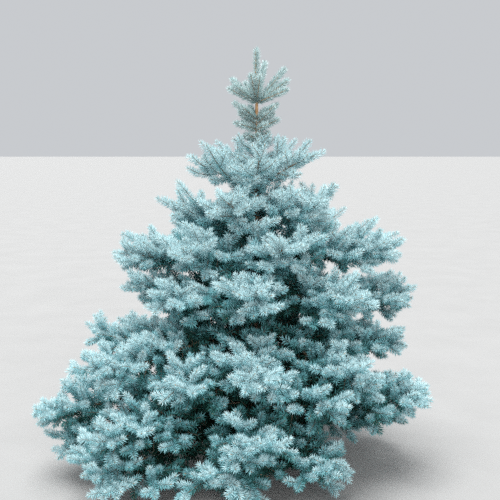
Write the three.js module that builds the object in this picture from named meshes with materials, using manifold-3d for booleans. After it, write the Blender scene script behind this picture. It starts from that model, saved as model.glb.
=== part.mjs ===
// A young blue spruce, about 2.1 m tall and 2 m across, as it stands in a garden bed.
// Millimetres, +Z up, ground level at Z = 0 under the trunk, the viewer's side is -Y and +X is their right.
import * as THREE from "three";
import { mergeVertices } from "three/addons/utils/BufferGeometryUtils.js";
import Module from "manifold-3d";

const wasm = await Module();
wasm.setup();

// Trunk. It ends where the leader, the last years' needled growth, takes over.
const TRUNK_TOP = 1640;
const TRUNK_RADIUS = 36;
const TRUNK_TOP_RADIUS = 9;
const TRUNK_SIDES = 12;
const TRUNK_RINGS = 12;
const ROOT_FLARE = 26;
const ROOT_FLARE_HEIGHT = 55;
const ROOT_LOBES = 5;
const ROOT_LOBE_DEPTH = 0.3;
const TRUNK_SWAY = 5;
const TRUNK_SWAY_LENGTH = 1300;

// Boughs. Each bare limb carries on as the stem of its foliage mass, a hair's gap further out.
const GAP = 0.3;
const BOUGH_SIDES = 5;
const BOUGH_RINGS = 4;
const STEM_SIDES = 3;
const STEM_RINGS = 3;
const TIP_RADIUS = 1.6;
const TWIG_SHARE = 0.45;
const STEM_END = 0.985;
const HEIGHT_SPREAD = 16;
const ZIGZAG = 16;
const LINE_STEPS = 12;

// The tiers from the ground up, and last the weaker boughs that grow between the low and the broad tier. Height is
// where a tier's boughs leave the trunk, by turns a little lower and a little higher so that neighbours don't meet
// there. Leave and tip are their slopes there and at the end, bare is the share of the bough without foliage
// (0 = foliage from the trunk on), radius is the limb's at the trunk, and bend is how far a side shoot's end turns
// up. Each bough is its turn in degrees anticlockwise from +X, its reach and the height of its tip.
const TIERS = [
  {
    name: "skirt", height: 270, leave: 0.1, tip: 0.05, bare: 0, radius: 9, bend: -0.04,
    boughs: [[-136, 1000, 190], [-98, 860, 220], [-63, 750, 220], [20, 760, 210], [112, 800, 230], [198, 970, 200]],
  },
  {
    name: "low", height: 450, leave: 0.15, tip: 0.15, bare: 0.17, radius: 9.5, bend: 0,
    boughs: [
      [-134, 990, 350], [-94, 900, 350], [-20, 840, 430], [52, 880, 400], [122, 950, 400], [194, 1075, 360],
    ],
  },
  {
    name: "broad", height: 660, leave: 0.2, tip: 0.25, bare: 0.17, radius: 10, bend: 0.05,
    boughs: [
      [-92, 800, 650], [-52, 800, 600], [-2, 730, 660], [88, 850, 620], [162, 930, 620], [-146, 900, 620],
    ],
  },
  {
    name: "middle", height: 860, leave: 0.3, tip: 0.35, bare: 0, radius: 9, bend: 0.12,
    boughs: [[-90, 620, 980], [-42, 660, 930], [6, 780, 880], [92, 740, 880], [190, 620, 940], [-138, 620, 930]],
  },
  {
    name: "high", height: 1060, leave: 0.35, tip: 0.45, bare: 0, radius: 7, bend: 0.2,
    boughs: [
      [-76, 500, 1160], [-2, 690, 1130], [52, 640, 1200], [128, 640, 1180], [186, 660, 1110], [-132, 520, 1130],
    ],
  },
  {
    name: "shoulder", height: 1210, leave: 0.6, tip: 0.5, bare: 0, radius: 5.5, bend: 0.28,
    boughs: [[-112, 350, 1360], [-38, 400, 1350], [28, 400, 1345], [104, 380, 1350], [178, 425, 1310]],
  },
  {
    name: "neck", height: 1395, leave: 0.85, tip: 0.6, bare: 0, radius: 4, bend: 0.32,
    boughs: [[-88, 240, 1550], [-18, 275, 1575], [48, 270, 1580], [116, 260, 1575], [184, 290, 1540]],
  },
  {
    name: "between", height: 560, leave: 0.2, tip: 0.2, bare: 0, radius: 7, bend: 0.03,
    boughs: [[-118, 780, 580], [-66, 760, 500], [45, 700, 680]],
  },
];

// Side shoots along a bough, measured back from its tip and dealt to the left and right in turn. The rolls turn
// them out of the bough's own plane, so that a mass is as thick as the shelf of shoots it stands for.
const FOLIAGE_FROM = 0.16;
const FIRST_SHOOT = 44;
const SHOOT_SPACING = 66;
const ANGLE_AT_TIP = 38;
const ANGLE_INWARD = 58;
const ANGLE_SETTLES = 400;
const ANGLE_SPREAD = 8;
const ROLL_SPREAD = 12;
const LENGTH_LEAST = 0.94;
const LENGTH_SPREAD = 0.24;
const ROLLS = [4, 58, -38, 22, 78, -12, -62];
const TRIES = [1, 0.82, 0.66, 0.5, 0.38];
const SHORTEST = 34;
const TIP_SPRAY = 90;

// Sprays: thick toothed blades that stand for a shoot with its finer twigs and needles.
const NEEDLE = 20;
const SPRAY_GAIN = 0.14;
const SPRAY_WIDEST = 54;
const SPRAY_THICKNESS_SHARE = 0.55;
const SPRAY_THICKNESS_LEAST = 4;
const SPRAY_HALF_THICKNESS = 27;
const BARE_SHARE = 0.16;
const BARE_LONGEST = 26;
const TWIG_REACH = 0.45;
const NOTCH = 0.66;
const TOOTH_FORWARD = 0.12;
const TWISTS = [0, 48, -30, 70, 20, -55];
const LONG_SPRAY = 190;

// The shape that a mass's shoots grow out to: half width and half height, larger with the distance back from
// the bough's tip. Its dense heart, which the sprays stand out of, fills the shares given here.
const TIP_WIDTH = 36;
const WIDTH_GAIN = 0.95;
const WIDEST = 360;
const TIP_HEIGHT = 44;
const HEIGHT_GAIN = 0.58;
const HIGHEST = 165;
const HEART_WIDTH_SHARE = 0.54;
const HEART_HEIGHT_SHARE = 0.68;
const HEART_DROP = 1.2;
const HEART_FROM = 0.12;
const HEART_INSET = 10;
const HEART_SHORT = 40;
const HEART_LUMPS = 0.13;
const HEART_LEAST = 0.15;
const HEART_STEP = 0.04;
const HEART_SIDES = 8;
const HEART_RINGS = 6;

// Room kept between neighbouring masses, round the limbs and above the ground.
const CLEARANCE = 4;
const GROUND_ROOM = 30;

// The leader: a straight young stem with whorls of short shoots. Each shoot is [turn, reach, rise].
const LEADER_TOP = 2082;
const LEADER_BRUSHES = [[0.02, 0], [0.3, 90], [0.58, 0]];
const LEADER_RADIUS = 6;
const LEADER_TWIG = 4;
const LEADER_TWIG_REACH = 0.4;
const BRUSH_START = 8;
const BRUSH_LONGEST = 150;
const BRUSH_WIDTH = 25;
const BRUSH_THICKNESS = 20;
const LEADER_WHORLS = [
  {
    height: 1650,
    shoots: [[-150, 74, 34], [-32, 78, 44], [75, 78, 30], [160, 84, 20], [-88, 66, 30], [20, 80, 16]],
  },
  {
    height: 1700,
    shoots: [
      [186, 122, 34], [-146, 104, 26], [-22, 124, 52], [-62, 106, 24], [38, 104, 40], [94, 100, 40], [142, 104, 44],
    ],
  },
  {
    height: 1724,
    shoots: [[200, 100, 56], [-50, 96, 60], [20, 100, 62], [130, 96, 60]],
  },
  {
    height: 1748,
    shoots: [
      [170, 126, 88], [-138, 110, 66], [-42, 122, 66], [6, 112, 80], [62, 110, 62], [112, 106, 74], [208, 108, 40],
    ],
  },
  {
    height: 1832,
    shoots: [
      [176, 132, 120], [205, 162, 66], [-106, 112, 134], [70, 132, 212], [20, 158, 174], [-14, 168, 108],
      [-30, 182, 58], [118, 130, 110], [-148, 140, 85], [-82, 112, 128],
    ],
  },
];

const UP = new THREE.Vector3(0, 0, 1);

// A repeatable number from 0 to 1 for a bough's seed and a step along it.
function chance(seed, step) {
  const value = Math.sin(seed * 127.1 + step * 311.7) * 43758.5453;
  return value - Math.floor(value);
}

function mix(from, to, share) {
  return from + (to - from) * share;
}

function trunkCentre(z) {
  return new THREE.Vector3(TRUNK_SWAY * Math.sin((2 * Math.PI * z) / TRUNK_SWAY_LENGTH), 0, z);
}

function trunkRadius(z) {
  const share = Math.min(1, z / TRUNK_TOP);
  return mix(TRUNK_RADIUS, TRUNK_TOP_RADIUS, Math.pow(share, 0.9));
}

function turned(degrees) {
  const angle = THREE.MathUtils.degToRad(degrees);
  return new THREE.Vector3(Math.cos(angle), Math.sin(angle), 0);
}

// A point on a bough's centre line, t = 0 in the trunk and 1 at the tip.
function along(bough, t) {
  const { tier, reach, outward, root } = bough;
  const slopes = tier.leave * (t - 2 * t * t + t * t * t) + tier.tip * (t * t * t - t * t);
  const rise = (bough.tipHeight - root.z) * (3 * t * t - 2 * t * t * t);
  return root.clone().addScaledVector(outward, reach * t).addScaledVector(UP, reach * slopes + rise);
}

function heading(bough, t) {
  return along(bough, t + 0.004).sub(along(bough, t - 0.004)).normalize();
}

// The frame of a limb that runs in a direction: its left, its upper side and the direction itself.
function frameOf(direction) {
  const left = new THREE.Vector3().crossVectors(UP, direction);
  if (left.lengthSq() < 1e-6) left.set(0, 1, 0);
  left.normalize();
  return { left, upper: new THREE.Vector3().crossVectors(direction, left).normalize(), direction };
}

// The same frame, turned round its own direction.
function twisted(frame, degrees) {
  const angle = THREE.MathUtils.degToRad(degrees);
  return {
    direction: frame.direction,
    left: frame.left.clone().applyAxisAngle(frame.direction, angle),
    upper: frame.upper.clone().applyAxisAngle(frame.direction, angle),
  };
}

// The limb's radius, from the trunk to the tip.
function limbRadius(bough, t) {
  return TIP_RADIUS + (bough.tier.radius - TIP_RADIUS) * Math.pow(1 - t, 0.85);
}

function makeBoughs() {
  const boughs = [];
  TIERS.forEach((tier) => {
    tier.boughs.forEach(([turn, reach, tipHeight], index) => {
      const seed = boughs.length + 1;
      const zigzag = index % 2 === 0 ? -ZIGZAG : ZIGZAG;
      const height = tier.height + zigzag + HEIGHT_SPREAD * (chance(seed, 0) - 0.5);
      const bough = { tier, name: `${tier.name}_${index + 1}`, seed, reach, tipHeight };
      bough.outward = turned(turn);
      bough.root = trunkCentre(height);
      bough.start = tier.bare;
      bough.line = Array.from({ length: LINE_STEPS + 1 }, (_, step) => along(bough, step / LINE_STEPS));
      boughs.push(bough);
    });
  });
  return boughs;
}

const BOUGHS = makeBoughs();
const LEADER = { line: [trunkCentre(TRUNK_TOP), trunkCentre(LEADER_TOP)] };
const AXES = [...BOUGHS, LEADER];

function distanceToLine(point, line) {
  let nearest = Infinity;
  const segment = new THREE.Line3();
  const foot = new THREE.Vector3();
  for (let step = 1; step < line.length; step += 1) {
    segment.set(line[step - 1], line[step]);
    segment.closestPointToPoint(point, true, foot);
    nearest = Math.min(nearest, foot.distanceTo(point));
  }
  return nearest;
}

// A mass owns the points that lie nearer to its own bough than to any other, off the trunk and above the ground.
function isOwnRoom(owner, point) {
  if (point.z < GROUND_ROOM) return false;
  const centre = trunkCentre(Math.min(point.z, TRUNK_TOP));
  const offTrunk = Math.hypot(point.x - centre.x, point.y - centre.y);
  if (owner !== LEADER && offTrunk < trunkRadius(point.z) + CLEARANCE) return false;
  if (owner.start > 0) {
    const end = along(owner, owner.start);
    if (point.clone().sub(end).dot(heading(owner, owner.start)) < CLEARANCE) return false;
  }
  const own = distanceToLine(point, owner.line);
  return AXES.every((other) => other === owner || distanceToLine(point, other.line) > own + 2 * CLEARANCE);
}

function pointsOf(geometry) {
  const position = geometry.attributes.position;
  return Array.from({ length: position.count }, (_, i) => new THREE.Vector3().fromBufferAttribute(position, i));
}

function reshape(geometry, move) {
  const position = geometry.attributes.position;
  pointsOf(geometry).forEach((point, i) => {
    const moved = move(point);
    position.setXYZ(i, moved.x, moved.y, moved.z);
  });
  return geometry;
}

function solid(geometry) {
  const bare = geometry.clone();
  bare.deleteAttribute("normal");
  bare.deleteAttribute("uv");
  const merged = mergeVertices(bare, 1e-3);
  return new wasm.Manifold(new wasm.Mesh({
    numProp: 3,
    vertProperties: new Float32Array(merged.attributes.position.array),
    triVerts: new Uint32Array(merged.index.array),
  }));
}

function toGeometry(body) {
  const mesh = body.getMesh();
  const geometry = new THREE.BufferGeometry();
  geometry.setAttribute("position", new THREE.BufferAttribute(new Float32Array(mesh.vertProperties), 3));
  geometry.setIndex(new THREE.BufferAttribute(new Uint32Array(mesh.triVerts), 1));
  geometry.computeVertexNormals();
  return geometry;
}

// The trunk, or with `extra` the same shape a little fatter, for cutting the limbs back from it.
function trunkSolid(extra) {
  const shape = new THREE.CylinderGeometry(1, 1, 1, TRUNK_SIDES, TRUNK_RINGS);
  return solid(reshape(shape, (point) => {
    const z = TRUNK_TOP * Math.pow(point.y + 0.5, 1.5);
    const angle = Math.atan2(-point.z, point.x);
    const lobes = 1 + ROOT_LOBE_DEPTH * Math.cos(ROOT_LOBES * angle);
    const flare = ROOT_FLARE * lobes * Math.exp(-z / ROOT_FLARE_HEIGHT);
    const radius = Math.hypot(point.x, point.z) * (trunkRadius(z) + flare + extra);
    const lift = extra > 0 && point.y > 0 ? extra : 0;
    const centre = trunkCentre(z);
    return new THREE.Vector3(centre.x + radius * Math.cos(angle), centre.y + radius * Math.sin(angle), z + lift);
  }));
}

// A tapering limb along a bough's centre line, from share t0 to share t1.
function limbSolid(bough, t0, t1, sides, rings) {
  const shape = new THREE.CylinderGeometry(1, 1, 1, sides, rings);
  return solid(reshape(shape, (point) => {
    const t = mix(t0, t1, point.y + 0.5);
    const { left, upper } = frameOf(heading(bough, t));
    const radius = limbRadius(bough, t);
    return along(bough, t).addScaledVector(left, radius * point.x).addScaledVector(upper, -radius * point.z);
  }));
}

// A three-sided twig from a point on the stem, ending inside its spray.
function twigGeometry(from, frame, length, radius) {
  const shape = new THREE.ConeGeometry(radius, 1, 3, 1);
  return reshape(shape, (point) => from.clone()
    .addScaledVector(frame.direction, (point.y + 0.5) * length)
    .addScaledVector(frame.left, point.x)
    .addScaledVector(frame.upper, -point.z));
}

// A spray: a blade with a thick rib, its rim drawn out into teeth that point forward.
function sprayGeometry(from, frame, length, halfWidth, halfThickness, bend) {
  const rim = length > LONG_SPRAY ? 10 : 6;
  const shape = new THREE.SphereGeometry(1, rim, 2);
  return reshape(shape, (point) => {
    const onRim = Math.abs(point.y) < 0.5;
    const step = Math.round((Math.atan2(point.z, -point.x) / (2 * Math.PI)) * rim + rim) % rim;
    const isTooth = step % 2 === 0;
    const isEnd = step === 0 || step === rim / 2;
    const drawn = onRim && !isTooth ? NOTCH : 1;
    const forward = onRim && isTooth && !isEnd ? TOOTH_FORWARD : 0;
    const share = 0.5 + 0.5 * Math.sign(point.x) * Math.pow(Math.abs(point.x), 0.8) + forward;
    const across = -point.z * drawn * halfWidth;
    const height = point.y * halfThickness + bend * length * share * share;
    return from.clone()
      .addScaledVector(frame.direction, length * share)
      .addScaledVector(frame.left, across)
      .addScaledVector(frame.upper, height);
  });
}

// Half width and half height of a mass, at a distance back from its tip.
function massWidth(back) {
  return Math.min(WIDEST, TIP_WIDTH + WIDTH_GAIN * back);
}

function massHeight(back) {
  return Math.min(HIGHEST, TIP_HEIGHT + HEIGHT_GAIN * back);
}

// The heart of a mass: a blunt-ended, lumpy body round its stem, drawn in wherever a neighbour is near. It hangs
// deeper than it rises.
function heartSolid(bough) {
  const { seed, reach } = bough;
  const from = Math.max(bough.start, HEART_FROM) + HEART_INSET / reach;
  const to = 1 - HEART_SHORT / reach;
  const shape = new THREE.SphereGeometry(1, HEART_SIDES, HEART_RINGS);
  return solid(reshape(shape, (point) => {
    const share = 0.5 - 0.5 * point.y;
    const t = mix(to, from, share);
    const back = reach * (1 - t);
    const { left, upper } = frameOf(heading(bough, t));
    const angle = Math.atan2(point.z, point.x);
    const blunt = Math.pow(Math.max(0.05, 1 - point.y * point.y), -0.2);
    const lump = 1 + HEART_LUMPS * Math.sin(3 * angle + seed) * Math.cos(8 * share + seed);
    const across = left.multiplyScalar(point.x * blunt * lump * HEART_WIDTH_SHARE * massWidth(back));
    const sag = point.z > 0 ? HEART_DROP : 1;
    const height = upper.multiplyScalar(-point.z * sag * blunt * lump * HEART_HEIGHT_SHARE * massHeight(back));
    const place = (drawn) => along(bough, t).addScaledVector(across, drawn).addScaledVector(height, drawn);
    let drawn = 1;
    while (drawn > HEART_LEAST && !isOwnRoom(bough, place(drawn))) drawn -= HEART_STEP;
    return place(drawn);
  }));
}

// The side shoots of one bough: where each leaves, its frame and its length.
function sideShoots(bough) {
  const { seed, reach, tier } = bough;
  const shoots = [];
  let back = FIRST_SHOOT;
  const deepest = reach * (1 - Math.max(tier.bare, FOLIAGE_FROM)) - 2 * HEART_INSET;
  for (let step = 0; back < deepest; step += 1) {
    const t = 1 - back / reach;
    const stem = frameOf(heading(bough, t));
    const side = (step + seed) % 2 === 0 ? 1 : -1;
    const inward = Math.min(1, back / ANGLE_SETTLES);
    const angle = mix(ANGLE_AT_TIP, ANGLE_INWARD, inward) + ANGLE_SPREAD * (chance(seed, step + 10) - 0.5);
    const roll = ROLLS[(step + seed) % ROLLS.length] + ROLL_SPREAD * (chance(seed, step + 40) - 0.5);
    const a = THREE.MathUtils.degToRad(angle);
    const r = THREE.MathUtils.degToRad(roll);
    const direction = stem.direction.clone().multiplyScalar(Math.cos(a))
      .addScaledVector(stem.left, side * Math.sin(a) * Math.cos(r))
      .addScaledVector(stem.upper, Math.sin(a) * Math.sin(r));
    const room = 1 / Math.hypot(Math.cos(r) / massWidth(back), Math.sin(r) / massHeight(back));
    const length = (room / Math.sin(a)) * (LENGTH_LEAST + LENGTH_SPREAD * chance(seed, step + 70)) - NEEDLE;
    shoots.push({ from: along(bough, t), direction, length, radius: TWIG_SHARE * limbRadius(bough, t) + 1 });
    back += SHOOT_SPACING * (0.9 + 0.2 * chance(seed, step + 100));
  }
  return shoots;
}

// Grows one shoot, shortened until it fits its mass's own room, or left out.
function shootSolids(owner, shoot, bend, twist) {
  const frame = twisted(frameOf(shoot.direction.clone().normalize()), twist);
  for (const share of TRIES) {
    const length = shoot.length * share;
    const base = Math.min(BARE_SHARE * length, BARE_LONGEST);
    const halfWidth = Math.min(SPRAY_WIDEST, NEEDLE + SPRAY_GAIN * length);
    const thickness = SPRAY_THICKNESS_SHARE * halfWidth + SPRAY_THICKNESS_LEAST;
    const halfThickness = Math.min(SPRAY_HALF_THICKNESS, thickness);
    const sprayFrom = shoot.from.clone().addScaledVector(frame.direction, base);
    const spray = sprayGeometry(sprayFrom, frame, length + NEEDLE - base, halfWidth, halfThickness, bend);
    if (length > SHORTEST && pointsOf(spray).every((point) => isOwnRoom(owner, point))) {
      const twig = twigGeometry(shoot.from, frame, base + TWIG_REACH * length, shoot.radius);
      return [solid(twig), solid(spray)];
    }
  }
  return [];
}

function joined(bodies) {
  return bodies.reduce((whole, body) => whole.add(body));
}

const FATTER_TRUNK = trunkSolid(GAP);

function boughSolid(bough) {
  return limbSolid(bough, 0, bough.start, BOUGH_SIDES, BOUGH_RINGS).subtract(FATTER_TRUNK);
}

// One foliage mass: its stem, the side shoots along it and the spray at its tip.
function massSolid(bough) {
  const start = bough.start > 0 ? bough.start + GAP / bough.reach : 0;
  const bodies = [limbSolid(bough, start, STEM_END, STEM_SIDES, STEM_RINGS), heartSolid(bough)];
  sideShoots(bough).forEach((shoot, index) => {
    bodies.push(...shootSolids(bough, shoot, bough.tier.bend, TWISTS[(index + bough.seed) % TWISTS.length]));
  });
  const tipFrom = along(bough, 1 - TIP_SPRAY / bough.reach);
  const tipShoot = { from: tipFrom, direction: heading(bough, 0.97), length: TIP_SPRAY, radius: 2 * TIP_RADIUS };
  bodies.push(...shootSolids(bough, tipShoot, 0, 0));
  const mass = joined(bodies);
  return bough.start > 0 ? mass : mass.subtract(FATTER_TRUNK);
}

// The crown's tip: the leader with its whorls, growing from the trunk's flat top.
function crownTipSolid() {
  const from = trunkCentre(TRUNK_TOP + GAP);
  const leader = frameOf(UP);
  const height = LEADER_TOP - from.z;
  const stem = new THREE.CylinderGeometry(LEADER_RADIUS, TRUNK_TOP_RADIUS, height, 6, 4);
  const bodies = [solid(reshape(stem, (point) => trunkCentre(from.z + point.y + height / 2)
    .addScaledVector(leader.left, point.x)
    .addScaledVector(leader.upper, -point.z)))];
  const brush = (base, direction, length, twist) => {
    const frame = twisted(frameOf(direction.clone().normalize()), twist);
    bodies.push(solid(twigGeometry(base, frame, LEADER_TWIG_REACH * length, LEADER_TWIG)));
    const sprayFrom = base.clone().addScaledVector(frame.direction, BRUSH_START);
    bodies.push(solid(sprayGeometry(sprayFrom, frame, length - BRUSH_START, BRUSH_WIDTH, BRUSH_THICKNESS, 0)));
  };
  const top = LEADER_WHORLS.at(-1).height;
  LEADER_BRUSHES.forEach(([share, twist]) => {
    const base = trunkCentre(mix(top, LEADER_TOP, share));
    brush(base, UP, Math.min(BRUSH_LONGEST, LEADER_TOP + NEEDLE - base.z), twist);
  });
  LEADER_WHORLS.forEach(({ height: z, shoots }) => {
    shoots.forEach(([turn, reach, rise], index) => {
      const direction = turned(turn).multiplyScalar(reach).addScaledVector(UP, rise);
      brush(trunkCentre(z), direction, direction.length(), 90 * (index % 2));
    });
  });
  return joined(bodies);
}

function matte(name, color, roughness) {
  return new THREE.MeshStandardMaterial({ name, color, roughness, metalness: 0, flatShading: true });
}

const bark = matte("bark", 0x6b5a4c, 0.95);
const limbBark = matte("limb_bark", 0x8a6a4e, 0.9);
const needles = matte("needles", 0x9fbcc4, 0.8);

function named(name, body, material) {
  const mesh = new THREE.Mesh(toGeometry(body), material);
  mesh.name = name;
  return mesh;
}

const spruce = new THREE.Group();
spruce.name = "blue_spruce";
spruce.add(named("trunk", trunkSolid(0), bark));
BOUGHS.forEach((bough) => {
  if (bough.start > 0) spruce.add(named(`bough_${bough.name}`, boughSolid(bough), limbBark));
  spruce.add(named(`foliage_${bough.name}`, massSolid(bough), needles));
});
spruce.add(named("foliage_crown_tip", crownTipSolid(), needles));

export default spruce;
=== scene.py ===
# %% [markdown]
# A young blue spruce, built the way it grows
#
# The solid model of this tree has a trunk, boughs and plain foliage masses. This lesson gives the wood
# bark with real relief, and in place of the masses it grows twigs that branch by a rule and nearly half a
# million needles. Each cell adds one thing and prints what it made, so run it from the top and watch the
# tree fill in.

# %% Load the frame
import math

import bpy
import numpy as np
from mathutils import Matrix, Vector


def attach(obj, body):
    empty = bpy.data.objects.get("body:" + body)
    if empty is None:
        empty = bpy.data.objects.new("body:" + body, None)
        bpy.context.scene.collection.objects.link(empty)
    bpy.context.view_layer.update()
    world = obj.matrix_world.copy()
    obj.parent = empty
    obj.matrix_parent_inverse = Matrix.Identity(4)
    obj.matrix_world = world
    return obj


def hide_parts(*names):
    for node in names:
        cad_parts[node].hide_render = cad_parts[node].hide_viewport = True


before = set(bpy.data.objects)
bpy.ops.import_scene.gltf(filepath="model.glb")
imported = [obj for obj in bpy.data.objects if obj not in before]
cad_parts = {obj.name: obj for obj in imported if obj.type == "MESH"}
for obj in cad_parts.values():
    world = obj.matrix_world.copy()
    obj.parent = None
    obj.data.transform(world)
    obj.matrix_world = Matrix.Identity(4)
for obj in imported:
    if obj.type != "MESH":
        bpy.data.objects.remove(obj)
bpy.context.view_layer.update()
foliage_nodes = [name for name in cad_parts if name.startswith("foliage_")]
bough_nodes = [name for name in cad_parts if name.startswith("bough_")]
print("solid model:", len(bough_nodes), "bare limbs and", len(foliage_nodes), "foliage masses")

# %% [markdown]
# The plan of the tree
#
# A spruce grows one ring of boughs each year, so the tree is a stack of tiers. They could be read back
# from the solid model's vertices, but a table of named sizes is easier to understand and to change. This
# is the table that the solid model was built from, in metres. A tier has the height where it leaves the
# trunk, the slopes at both ends of its boughs, the share of a bough without foliage, the bough's radius,
# and how far the side shoots bend up. A bough has its turn round the trunk in degrees, its reach and the
# height of its tip. The last row holds the weaker boughs that a spruce grows between its rings.

# %% The tiers, from the ground up
TIERS = [
    dict(name="skirt", height=0.270, leave=0.10, tip=0.05, bare=0.0, radius=0.009, bend=-0.04,
         boughs=[(-136, 1.000, 0.190), (-98, 0.860, 0.220), (-63, 0.750, 0.220), (20, 0.760, 0.210),
                 (112, 0.800, 0.230), (198, 0.970, 0.200)]),
    dict(name="low", height=0.450, leave=0.15, tip=0.15, bare=0.17, radius=0.0095, bend=0.0,
         boughs=[(-134, 0.990, 0.350), (-94, 0.900, 0.350), (-20, 0.840, 0.430), (52, 0.880, 0.400),
                 (122, 0.950, 0.400), (194, 1.075, 0.360)]),
    dict(name="broad", height=0.660, leave=0.20, tip=0.25, bare=0.17, radius=0.010, bend=0.05,
         boughs=[(-92, 0.800, 0.650), (-52, 0.800, 0.600), (-2, 0.730, 0.660), (88, 0.850, 0.620),
                 (162, 0.930, 0.620), (-146, 0.900, 0.620)]),
    dict(name="middle", height=0.860, leave=0.30, tip=0.35, bare=0.0, radius=0.009, bend=0.12,
         boughs=[(-90, 0.620, 0.980), (-42, 0.660, 0.930), (6, 0.780, 0.880), (92, 0.740, 0.880),
                 (190, 0.620, 0.940), (-138, 0.620, 0.930)]),
    dict(name="high", height=1.060, leave=0.35, tip=0.45, bare=0.0, radius=0.007, bend=0.20,
         boughs=[(-76, 0.500, 1.160), (-2, 0.690, 1.130), (52, 0.640, 1.200), (128, 0.640, 1.180),
                 (186, 0.660, 1.110), (-132, 0.520, 1.130)]),
    dict(name="shoulder", height=1.210, leave=0.60, tip=0.50, bare=0.0, radius=0.0055, bend=0.28,
         boughs=[(-112, 0.350, 1.360), (-38, 0.400, 1.350), (28, 0.400, 1.345), (104, 0.380, 1.350),
                 (178, 0.425, 1.310)]),
    dict(name="neck", height=1.395, leave=0.85, tip=0.60, bare=0.0, radius=0.004, bend=0.32,
         boughs=[(-88, 0.240, 1.550), (-18, 0.275, 1.575), (48, 0.270, 1.580), (116, 0.260, 1.575),
                 (184, 0.290, 1.540)]),
    dict(name="between", height=0.560, leave=0.20, tip=0.20, bare=0.0, radius=0.007, bend=0.03,
         boughs=[(-118, 0.780, 0.580), (-66, 0.760, 0.500), (45, 0.700, 0.680)]),
]
print("tiers:", [tier["name"] for tier in TIERS])

# %% [markdown]
# The trunk's line
#
# A trunk tapers all the way up and is never as straight as a pole, so this one sways by a few
# millimetres. It could be a curve object, but boughs and twigs have to ask where it runs, and a formula
# answers at once. It is also the very line that the solid model has.

# %% Trunk line and radius
TRUNK_TOP = 1.640
TRUNK_RADIUS = 0.036
TRUNK_TOP_RADIUS = 0.009
TRUNK_TAPER = 0.9
TRUNK_SWAY = 0.005
TRUNK_SWAY_LENGTH = 1.300


def trunk_sway(z):
    return TRUNK_SWAY * np.sin(2 * math.pi * z / TRUNK_SWAY_LENGTH)


def trunk_centre(z):
    return np.array([trunk_sway(z), 0.0, z])


def trunk_radius(z):
    share = np.minimum(1.0, z / TRUNK_TOP)
    return TRUNK_RADIUS + (TRUNK_TOP_RADIUS - TRUNK_RADIUS) * share ** TRUNK_TAPER


print("trunk radius at breast height:", round(float(trunk_radius(1.3)), 4))

# %% [markdown]
# Small random numbers
#
# No two twigs are alike, yet the tree has to come out the same each time. One seeded generator would do
# that, but a single extra draw would then change every later twig. Here a number depends only on a seed
# and a step, so one bough can be changed while the others stay as they are. Where one step needs several
# numbers, each use adds an offset of its own to the step.

# %% A repeatable chance
SEED_WAVE = 127.1
STEP_WAVE = 311.7
MIXING = 43758.5453


def chance(seed, step):
    value = math.sin(seed * SEED_WAVE + step * STEP_WAVE) * MIXING
    return value - math.floor(value)


def varied(low, high, seed, step):
    return low + (high - low) * chance(seed, step)


print("three chances:", [round(chance(1, step), 3) for step in range(3)])

# %% [markdown]
# Where a bough runs
#
# A bough leaves the trunk at one slope and ends at another, so its centre line is a smooth curve between
# two heights. A curve object would draw it too, but thousands of twigs need points on it, and a short
# formula gives them faster. The bough thins slowly at first and quickly near its tip.

# %% Centre line, heading and radius
TIP_RADIUS = 0.0016
LIMB_TAPER = 0.85
HEADING_STEP = 0.004
UP = np.array([0.0, 0.0, 1.0])


def unit(vector):
    return vector / np.linalg.norm(vector)


def along(bough, t):
    tier = bough["tier"]
    slopes = tier["leave"] * (t - 2 * t * t + t ** 3) + tier["tip"] * (t ** 3 - t * t)
    rise = (bough["tip_height"] - bough["root"][2]) * (3 * t * t - 2 * t ** 3)
    return bough["root"] + bough["outward"] * bough["reach"] * t + UP * (bough["reach"] * slopes + rise)


def heading(bough, t):
    return unit(along(bough, t + HEADING_STEP) - along(bough, t - HEADING_STEP))


def limb_radius(bough, t):
    return TIP_RADIUS + (bough["tier"]["radius"] - TIP_RADIUS) * (1 - t) ** LIMB_TAPER


print("a bough's tip is", round(1000 * 2 * TIP_RADIUS, 1), "mm thick")

# %% [markdown]
# One record for each bough
#
# The boughs of a ring don't sit at exactly one height: they zigzag a little round the trunk. Each bough
# gets its root, its direction seen from above and a seed of its own. Empties with custom properties could
# carry these values, but nobody needs to see them, so plain dictionaries do.

# %% The boughs
ZIGZAG = 0.016
HEIGHT_SPREAD = 0.016
boughs = []
for tier in TIERS:
    for index, (turn, reach, tip_height) in enumerate(tier["boughs"]):
        seed = len(boughs) + 1
        zigzag = -ZIGZAG if index % 2 == 0 else ZIGZAG
        root = trunk_centre(tier["height"] + zigzag + HEIGHT_SPREAD * (chance(seed, 0) - 0.5))
        outward = np.array([math.cos(math.radians(turn)), math.sin(math.radians(turn)), 0.0])
        boughs.append(dict(tier=tier, seed=seed, reach=reach, tip_height=tip_height, root=root,
                           outward=outward))
print("boughs:", len(boughs), "longest reach", max(bough["reach"] for bough in boughs))

# %% [markdown]
# How far it is to each bough
#
# Twigs of neighbouring boughs share the light, so they stop where they meet. To find that place a twig
# asks how far it is to every bough. Blender's KD tree finds the nearest of many points, but a bough is a
# line, so the lines are cut into short straight pieces here and numpy measures the distance to all of
# them at once. The leader, the shoot at the top of the tree, counts as one more line.

# %% Distances to the centre lines
LEADER_TOP = 2.082
LEADER = len(boughs)
LINE_STEPS = 12
lines = [np.array([along(bough, step / LINE_STEPS) for step in range(LINE_STEPS + 1)]) for bough in boughs]
lines.append(np.array([trunk_centre(TRUNK_TOP), trunk_centre(LEADER_TOP)]))
starts = np.concatenate([line[:-1] for line in lines])
spans = np.concatenate([line[1:] - line[:-1] for line in lines])
span_squares = (spans ** 2).sum(1)
line_of = np.concatenate([np.full(len(line) - 1, index) for index, line in enumerate(lines)])


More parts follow.
